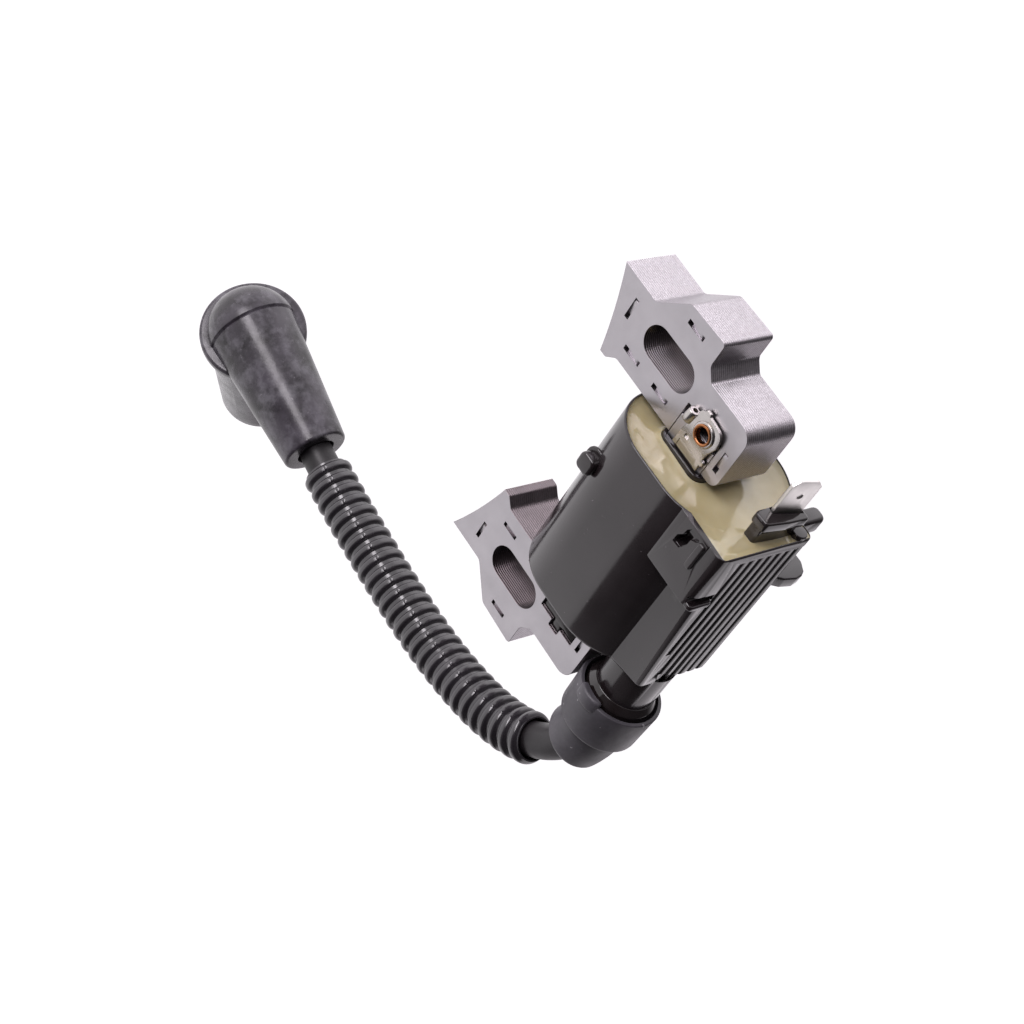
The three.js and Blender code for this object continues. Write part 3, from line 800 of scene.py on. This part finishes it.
def build_ground_clip():
    front, back = -STACK - 0.9, -STACK - 0.3
    plate = outline([(-20.9, 16.9, 0), (-22.2, 16.7, 0.1), (-22.5, 17.4, 0.25), (-23.3, 17.3, 0.25),
                     (-23.5, 16.7, 0.1), (-24.9, 16.8, 0.8), (-27.2, 17.6, 0.9), (-30.0, 17.3, 1.9),
                     (-30.4, 13.3, 0.15), (-30.9, 13.1, 0.2), (-30.9, 12.0, 0.2), (-30.3, 11.9, 0.15),
                     (-30.1, 11.2, 0.8), (-27.0, 10.6, 0.6), (-24.4, 10.1, 0.6), (-20.9, 9.9, 0)][::-1], 5)
    clip = prism("ground_clip_skin", plate, front, back, 0.16, 3)
    step = block("step", (-22.6, front - 0.3, 10.9), (-20.0, front + 0.22, 15.9), 0.1)
    carve(clip, step)
    window = block("window", (-24.4, front - 0.5, 11.3), (-23.5, front + 0.4, 12.3), 0.12, 1)
    carve(clip, window)
    collar = soften([(0, 0), (2.45, 0), (2.35, 0.65), (0, 0.65)], [0, 0, 0.25, 0])
    join(clip, lathe("collar", collar, (EYELET[0], back - 0.3, EYELET[1]), (0, -1, 0), 40))
    turns = [2 * pi * k / 40 for k in range(40)]
    hole = [(EYELET[0] + EYELET_HOLE * cos(t), EYELET[1] + EYELET_HOLE * sin(t)) for t in turns]
    carve(clip, loft("hole", [[(x, y, z) for x, z in hole] for y in (front - 1, back + 1)]))
    curl = soften([(0.5, 0), (1.1, 0), (1.1, 2.6), (0.5, 2.6)], [0, 0.25, 0.25, 0])
    tab = lathe("tab", curl, (-26.0, front + 0.3, 9.8), (-1, 0, 0.12), 32)
    join(clip, tab)
    return clip


piece(build_ground_clip(), NICKEL, ["ground_clip"])
eyelet_profile = [(1.42, 0.0), (1.72, 0.0), (1.74, 0.98), (1.9, 1.04), (1.94, 1.12), (1.84, 1.2), (1.62, 1.2),
                  (1.46, 1.1), (1.42, 0.95)]
piece(lathe("ground_eyelet_skin", eyelet_profile, (EYELET[0], -STACK - 0.3, EYELET[1]), (0, -1, 0), 48, 50),
      COPPER, ["ground_eyelet"])

# ---------------- coil former and case
COIL = (-6.0, 12.75)
RIM, CLOSED, WALL = -19.7, 17.9, 1.6
DRUM_LOW, DRUM_HIGH, DRUM_RADIUS = (-20.5, -1.6), (8.5, 29.5), 12.0
BOX_BACK, BOX_TOP = 3.4, 34.3
FRONT_RIM, FRONT_END = -19.1, -14.2
CREASE = (-15.65, 27.1)
RIM_WALL = 0.35
TOWER, TOWER_RADIUS = (-7.8, 29.1), 5.85
PANEL = 19.5
GROOVES, GROOVE_PITCH = 8, 2.25
GROOVE_END = (8.0, 14.6)  # the two front grooves stop short, before the tower


def coil_loop(half, corner):
    """A rounded rectangle of (half y, half z) about the coil's axis."""
    return rounded([c - h for c, h in zip(COIL, half)], [c + h for c, h in zip(COIL, half)], corner)


def box_front(x):
    return FRONT_RIM + (x - RIM) / (CLOSED - RIM) * (FRONT_END - FRONT_RIM)


def box_loop(x, inset, cut):
    """The box half at one station; its front runs straight from a crease on the drum to a tapering corner."""
    front, back, top = box_front(x) + cut, BOX_BACK - cut, BOX_TOP - cut
    if inset < RIM_WALL / 2 or inset > 1:
        corners = [(-8, 12, 0), (back, 12, 0), (back, top, 1.5), (front, top, 1.2),
                   (CREASE[0] + cut, CREASE[1] - cut, 0)]
    else:  # within the thin rim the front runs straight down, without the crease
        corners = [(-8, 12, 0), (back, 12, 0), (back, top, 0.6), (front, top, 0.6), (front + 0.5, 22, 0)]
    return outline(corners, 6)


def case_solid(name, inset, low, high, at_low, at_high):
    """The case's drum and box together, shrunk by an inset, with rounded ends."""
    drum, box = [], []
    for x, extra in fillets(low, high, at_low, at_high):
        cut = inset + extra
        loop = rounded([c + cut for c in DRUM_LOW], [c - cut for c in DRUM_HIGH], DRUM_RADIUS - cut, 20)
        drum.append([(x, y, z) for y, z in loop])
        box.append([(x, y, z) for y, z in box_loop(x, inset, cut)])
    return join(loft(name, drum), loft("half", box))


def build_panel():
    """The raised latch panel by the rim, with its thickened pad, its catch and its end lip."""
    panel = block("panel", (RIM + 0.05, -PANEL, 21.4), (-7.1, -13.5, 34.2), 0.22, 0, 1.6)
    low, high, back = 24.2, 30.7, -PANEL + 1
    pad = loft("pad", [[(x, y, low), (x, y, high), (x, back, high), (x, back, low)]
                       for x, y in ((-10.5, -PANEL + 0.1), (RIM + 0.06, -PANEL - 0.28))])
    join(panel, bevel(pad, 0.14, 2))
    catch = block("catch", (-18.9, -PANEL - 0.7, 28.95), (-13.1, back, 30.5), 0.3, 1, 0.5)
    join(panel, catch)
    lip = block("lip", (-8.1, -PANEL + 0.15, 31.4), (-7.0, -13.9, 34.95), 0.35, 0, 0.9)
    return join(panel, lip)


def build_side_ear():
    ear = soften([(2.4, 28.6), (9.4, 28.6), (10.9, 30.6), (10.9, 32.2), (9.9, 34.1), (8.9, 34.75),
                  (7.1, 35.1), (4.4, 34.6), (3.3, 34.0), (2.4, 33.6)],
                 [0, 0.8, 0.8, 0.8, 0.5, 0.6, 0.8, 0.8, 0.5, 0], 3)
    return bevel(along_x("side_ear", ear, -8.3, -5.9), 0.3, 3)


def build_case():
    case = case_solid("case", 0, RIM, CLOSED, 0.35, 0.9)
    tower = soften([(0, 0), (TOWER_RADIUS, 0), (TOWER_RADIUS, 11.6), (5.2, 11.9), (5.2, 17.6), (4.7, 18.6),
                    (0, 18.6)], [0, 0, 0.3, 0.1, 0.3, 0.3, 0])
    adds = [
        build_panel(),
        block("peg", (-10.15, -20.4, 1.2), (-6.45, -13, 4.9), 0.55, 1, 1.1),
        block("fin", (-11.2, -18.5, 0.8), (-5.9, -17.8, 5.3), 0.25, 1, 1.9),
        block("rim_ear", (RIM + 0.1, 2.5, 28.1), (-16, 9.5, 31.4), 0.7, 0, 1.2),
        build_side_ear(),
        lathe("tower", tower, (17, *TOWER), (1, 0, 0), 72),
    ]
    join(case, *adds)
    cuts = []
    for i in range(GROOVES):
        y = -13.15 + GROOVE_PITCH * i
        rows = [(-17.8, 0.3), (-17.2, 0)]
        if i < len(GROOVE_END):
            rows += [(GROOVE_END[i] - 0.6, 0), (GROOVE_END[i], 0.3)]
        else:
            rows.append((CLOSED + 1, 0))
        rings = []
        for x, rise in rows:
            side = [(0.2, -0.5 + rise), (0.4, -0.38 + rise), (0.52, -0.12), (0.74, 0.0), (1.0, 0.3)]
            section = [(y - a, b) for a, b in side] + [(y + a, b) for a, b in side[::-1]]
            rings.append([(x, a, BOX_TOP + b) for a, b in section])
        cuts.append(loft("groove", rings))
    pocket = [(-13.9, 24.6), (-14.0, 26.3), (-15.7, 27.2), (-17.3, 27.3), (-17.8, 28.3), (-18.5, 28.8),
              (-19.1, 28.4), (-19.2, 27.3), (-18.9, 26.3), (-18.1, 25.7), (-16.7, 25.5), (-15.6, 24.7)]
    cuts.append(prism("pocket", pocket, -PANEL - 1.6, -PANEL + 0.5, 0.04, 1))
    deep = [(-14.0, 24.75), (-14.1, 26.2), (-15.75, 27.05), (-17.6, 27.15), (-17.6, 25.65), (-16.65, 25.6),
            (-15.6, 24.85)]
    cuts.append(prism("deep", deep, -PANEL - 1.6, -PANEL + 2.6, 0.04, 1))
    cuts.append(block("corner_slot", (-9.7, -21.0, 33.1), (-8.3, -13.6, 37.0), 0.3, 1, 0.65))
    carve(case, *cuts)
    carve(case, case_solid("cavity", WALL, -18.2, CLOSED - WALL, 0.01, 0.5))
    carve(case, case_solid("mouth", RIM_WALL, RIM - 1, -18.0, 0.01, 0.9))
    tunnel = along_x("tunnel", coil_loop((7.6, 6.2), 2.6), CLOSED - 3, CLOSED + 1)
    carve(case, tunnel)
    bore = lathe("bore", [(0, 0), (2, 0), (2, 30), (0, 30)], (10, *TOWER), (1, 0, 0), 32)
    carve(case, bore)
    return case


piece(build_case(), CASE, ["housing"])


def ring_bar(name, outer, inner, low, high, radius=0.2):
    """A square tube about the crossbar: (half y, half z, corner) outside and inside."""
    verts, faces, rings = [], [], []
    for x, inset in fillets(low, high, radius, radius, 3):
        loop = coil_loop((outer[0] - inset, outer[1] - inset), max(outer[2] - inset, 0.05))
        rings.append([(x, y, z) for y, z in loop])
    rings += [[(x, y, z) for y, z in coil_loop(inner[:2], inner[2])] for x in (high, low)]
    strip(verts, faces, rings + rings[:1])
    return make(name, verts, faces)


former = ring_bar("primary_bobbin_skin", (7.3, 5.9, 2.3), (6.3, 4.85, 0.4), -20.4, 20.4)
for cheek in ((-13.8, -12.8), (13.2, 14.2)):
    join(former, ring_bar("cheek", (8.9, 7.5, 3.9), (6.6, 5.2, 1.5), *cheek))
piece(former, GLOSSY, ["primary_bobbin"])

# ---------------- stop blade and its holder
LEAN = radians(12)
BLADE_AT = Vector((0, -4.2, 30.4))
FOOT_LOW, FOOT_HIGH = (-10.2, 29.4), (-0.6, 32.4)


def lean(obj):
    """Moves a solid made flat at the origin to the blade's place and lean."""
    obj.data.transform(Matrix.Rotation(LEAN, 4, "X"))
    obj.data.transform(Matrix.Translation(BLADE_AT * MM))
    return obj


def blade_slot():
    return lean(block("slot", (-26, -3.45, -0.7), (-10, 3.45, 0.7), 0.05))


def build_blade():
    half, tail = 3.15, 2.4
    side = [(-32.3, half - 1.2), (-31.1, half), (-22.5, half), (-18.2, half), (-18.2, tail), (-12.2, tail)]
    loop = soften([(x, -y) for x, y in side] + side[::-1], [0.25, 0.3, 0, 0, 0, 0, 0, 0, 0, 0, 0.3, 0.25], 3)
    blade = loft("stop_blade", [[(x, y, -0.4) for x, y in loop], [(x, y, 0.4) for x, y in loop]])
    bevel(blade, 0.12, 2)
    dimple = lathe("dimple", soften([(0, 0), (0.35, 0), (0.85, 0.5), (0, 0.5)], [0, 0.1, 0, 0]),
                   (-28.6, 0, 0.12), (0, 0, 1), 24)
    return lean(carve(blade, dimple))


def build_holder():
    top = soften([(-10.7, 29.0), (-4.8, 28.9), (-0.6, 30.6), (-0.4, 33.1), (-5.2, 32.9), (-10.5, 32.3)],
                 [0.8, 1.0, 1.0, 0.7, 0.8, 0.8], 4)
    foot = soften([(-10.2, 29.4), (-4.8, 29.4), (-0.9, 30.4), (-0.6, 32.4), (-5.2, 32.3), (-10.2, 31.9)],
                  [0.5, 1.0, 1.0, 0.5, 0.8, 0.5], 4)
    crown = bevel(along_x("stop_blade_holder", top, -24.6, -22.4), 0.35, 3)
    join(crown, along_x("foot", foot, -23.0, -19.0))
    stub = soften([(0, 0), (1.5, 0), (1.5, 3.0), (0, 3.0)], [0, 0.25, 0, 0], 3)
    join(crown, lathe("stub", stub, (-20.4, 0.6, 32.7), (1, 0, 0), 32))
    return carve(crown, blade_slot())


piece(build_blade(), TIN, ["stop_terminal"])
piece(build_holder(), GLOSSY, ["terminal_holder"])


# ---------------- potting resin
def round_distance(y, z, low, high, radius):
    """Signed distance to a rounded rectangle, negative inside."""
    qy, qz = [abs(at - (a + b) / 2) - (b - a) / 2 + radius for at, a, b in zip((y, z), low, high)]
    return hypot(max(qy, 0), max(qz, 0)) + min(max(qy, qz), 0) - radius


RESIN_FACE = -18.9
FORMER_HALF, FORMER_CORNER = (7.4, 6.0), 2.4


def creep(build, edge):
    """Lets the resin's open face climb a little up the walls, the former and the holder's foot, and sag."""
    low_drum, high_drum = [c + edge for c in DRUM_LOW], [c - edge for c in DRUM_HIGH]
    box_low, box_high = (FRONT_RIM + edge, 22), (BOX_BACK - edge, BOX_TOP - edge)
    former_low = [c - h for c, h in zip(COIL, FORMER_HALF)]
    former_high = [c + h for c, h in zip(COIL, FORMER_HALF)]
    for vert in build.verts:
        if vert.co.x > (RESIN_FACE + 0.02) * MM:
            continue
        y, z = vert.co.y / MM, vert.co.z / MM
        wall = -min(round_distance(y, z, low_drum, high_drum, DRUM_RADIUS - edge),
                    round_distance(y, z, box_low, box_high, 0.6))
        former_gap = round_distance(y, z, former_low, former_high, FORMER_CORNER)
        foot_gap = round_distance(y, z, FOOT_LOW, FOOT_HIGH, 0.5)
        climbs = ((wall, 0.55, 0.7), (former_gap, 0.7, 0.8), (foot_gap, 0.45, 0.8))
        climb = sum(height * exp(-max(gap, 0) / reach) for gap, height, reach in climbs)
        sag = 0.25 * sin(0.35 * y + 0.6) * sin(0.22 * z)
        vert.co.x -= (climb + sag * min(1.0, max(wall, 0) / 3)) * MM


def build_resin():
    edge = RIM_WALL + 0.01
    resin = case_solid("potting_resin_fill", WALL + 0.02, RESIN_FACE + 0.5, CLOSED - WALL - 0.3, 0.01, 0.4)
    join(resin, case_solid("skim", edge, RESIN_FACE, RESIN_FACE + 0.6, 0.01, 0.01))
    for hollow in (along_x("pocket", coil_loop((11.7, 10.4), 7), -14.3, CLOSED),
                   along_x("tunnel", coil_loop(FORMER_HALF, FORMER_CORNER), RESIN_FACE - 2, 0),
                   block("board", (-14.3, -11.6, 24.9), (CLOSED, 0.4, 31.9), 0.1),
                   blade_slot()):
        carve(resin, hollow)
    build = bmesh.new()
    build.from_mesh(resin.data)
    grid = 0.45
    for axis, low, high in ((1, -19.5, 7.5), (2, 0.0, 33.0)):
        for at in np.arange(low, high, grid):
            near = [f for f in build.faces if f.calc_center_median().x < (RESIN_FACE + 0.05) * MM]
            around = dict.fromkeys([v for f in near for v in f.verts] + [e for f in near for e in f.edges])
            geometry = [*around, *near]
            co, no = [0, 0, 0], [0, 0, 0]
            co[axis], no[axis] = at * MM, 1
            bmesh.ops.bisect_plane(build, geom=geometry, plane_co=co, plane_no=no, dist=1e-7)
    creep(build, edge)
    bmesh.ops.recalc_face_normals(build, faces=build.faces)
    build.to_mesh(resin.data)
    build.free()
    shade(resin, 40)
    return resin


piece(build_resin(), RESIN, ["potting_epoxy"])


# ---------------- tower boot
def build_collar():
    """The sealing ring moulded round the tower inside the boot."""
    ring = soften([(5.3, -1.3), (5.95, -1.3), (6.8, 0.1), (6.8, 1.9), (5.3, 1.9)], [0, 0.3, 1.0, 0.3, 0], 8)
    return lathe("tower_collar", ring, (26.9, *TOWER), (1, 0, 0), 72, 45)


def build_boot():
    rim, floor = 27.4, 36.5
    cup = soften([(0, 0), (8.2, 0), (7.85, floor - rim), (5.0, floor - rim + 0.6), (0, floor - rim + 0.6)],
                 [0, 0.3, 0.9, 0.5, 0])
    boot = lathe("tower_boot_skin", cup, (rim, *TOWER), (1, 0, 0), 80)
    end = 0.075 * TOTAL
    places = list(np.linspace(0.0, end - 1.2, 14)) + [end - 0.8, end - 0.45, end - 0.2, end - 0.05, end]
    radii = [6.5 - 0.2 * s / end for s in places[:-4]] + [6.15, 5.92, 5.6, 5.2]
    join(boot, sweep("barrel", places, radii, None, 56))
    lug = []
    for x, inset in fillets(26.3, 29.6, 0.7, 1.0, 5):
        lug.append([(x, -15.25 + (1.45 - inset) * cos(t), 28.6 + (2.75 - inset) * sin(t))
                    for t in np.linspace(0, 2 * pi, 33)[:-1]])
    join(boot, loft("lug", lug))
    mouth = soften([(0, -3), (7.65, -3), (7.35, 1.5), (5.6, 5.0), (5.6, 8.5), (0, 8.5)],
                   [0, 0, 0.4, 0.4, 0.3, 0])
    carve(boot, lathe("mouth", mouth, (rim, *TOWER), (1, 0, 0), 64))
    carve(boot, sweep("bore", np.linspace(0.0, end + 3, 16), [3.75] * 16))
    well = lathe("well", [(0, 0), (3.5, 0), (3.5, 10), (0, 10)], (rim, *TOWER), (1, 0, 0), 40)
    carve(boot, well)
    carve(boot, block("leg_flat", (24, -12.6, 17), (34.6, 0.6, LEG_TOP + 0.3), 0.1))
    return boot


piece(build_boot(), BOOT_RUBBER, ["tower_boot"])
piece(build_collar(), GLOSSY)

# ---------------- CAD nodes that stay
KEPT = {"primary_winding": WIRE, "secondary_winding": WIRE, "secondary_bobbin": CREAM, "circuit_board": BOARD,
        "switching_transistor": DEVICE, "bias_resistor": RESISTOR, "protection_diode": DEVICE,
        "hv_contact_pin": BRASS, "boot_terminal": BRASS, "stop_post": COPPER, "lead_conductor": COPPER}
for name, material in KEPT.items():
    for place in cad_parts[name].material_slots:
        place.material = material


# ---------------- stage and light
FLOOR, FLOOR_HALF, FLOOR_EDGE = -0.8, 16.0, -4.4
TINT = (1.0, 0.945, 0.995)
SKY_BANDS = [(0.0, 1.0), (0.22, 0.7), (0.42, 0.3), (0.6, 0.08), (1.0, 0.05)]


def add_floor():
    """A pale light-table floor, which ends on the -Y side."""
    mesh = bpy.data.meshes.new("floor")
    mesh.from_pydata([(x, y, FLOOR) for x, y in ((-FLOOR_HALF, FLOOR_EDGE), (FLOOR_HALF, FLOOR_EDGE),
                                                 (FLOOR_HALF, FLOOR_HALF), (-FLOOR_HALF, FLOOR_HALF))],
                     [], [(0, 1, 2, 3)])
    floor = bpy.data.objects.new("floor", mesh)
    scene.collection.objects.link(floor)
    material, tree, shader = nodes_of("floor_paper")
    put(shader, Roughness=0.9, Emission_Color=(1.0, 0.975, 1.0, 1), Emission_Strength=0.96)
    tree.links.new(ramp(tree, noise(tree, 3, 2), (0.3, 0.84), (0.7, 0.86)), shader.inputs["Base Color"])
    floor.data.materials.append(material)


def add_sky():
    """A sky bright at the horizon, and dim overhead and towards -Y."""
    world = bpy.data.worlds.new("studio")
    world.use_nodes = True
    sky = world.node_tree
    way = split_axes(sky, sky.nodes.new("ShaderNodeTexCoord").outputs["Generated"])
    glow = ramp(sky, way["Z"], *[(at, tuple(level * c for c in TINT)) for at, level in SKY_BANDS])
    dim = ramp(sky, math_node(sky, "ADD", way["Y"], 1.0), (0.35, 0.16), (0.85, 1.0))
    sky.links.new(mix(sky, 1.0, glow, dim, "MULTIPLY"), sky.nodes["Background"].inputs["Color"])
    scene.world = world
    scene.view_settings.view_transform = "Standard"


def add_light(name, way, distance, size, radiance, target=(0.02, -0.006, -0.02), along_way=(0, 1, 0)):
    """A soft panel at a distance; its way and its long side are given as (right, up, towards the viewer)."""
    turn = scene.camera.matrix_world.to_3x3()
    out = (turn @ Vector(way)).normalized()
    long = turn @ Vector(along_way)
    side = long.cross(out).normalized()
    data = bpy.data.lights.new(name, "AREA")
    data.shape = "RECTANGLE"
    data.size, data.size_y = size
    data.color = TINT
    data.energy = radiance * pi * size[0] * size[1]
    lamp = bpy.data.objects.new(name, data)
    place = Matrix((side, out.cross(side), out)).transposed().to_4x4()
    place.translation = Vector(target) + out * distance
    lamp.matrix_world = place
    lamp.visible_camera = False
    scene.collection.objects.link(lamp)


add_floor()
add_sky()
add_light("key", (-0.19, 0.48, 0.86), 0.9, (0.3, 0.8), 7.2, (0.06, -0.006, -0.08), (-0.46, 0.84, -0.29))
add_light("top", (0.56, 0.81, -0.15), 0.9, (0.7, 0.7), 0.56)
add_light("blade", (0.366, -0.802, -0.473), 0.9, (0.75, 0.75), 1.15, (-0.028, -0.004, 0.030))
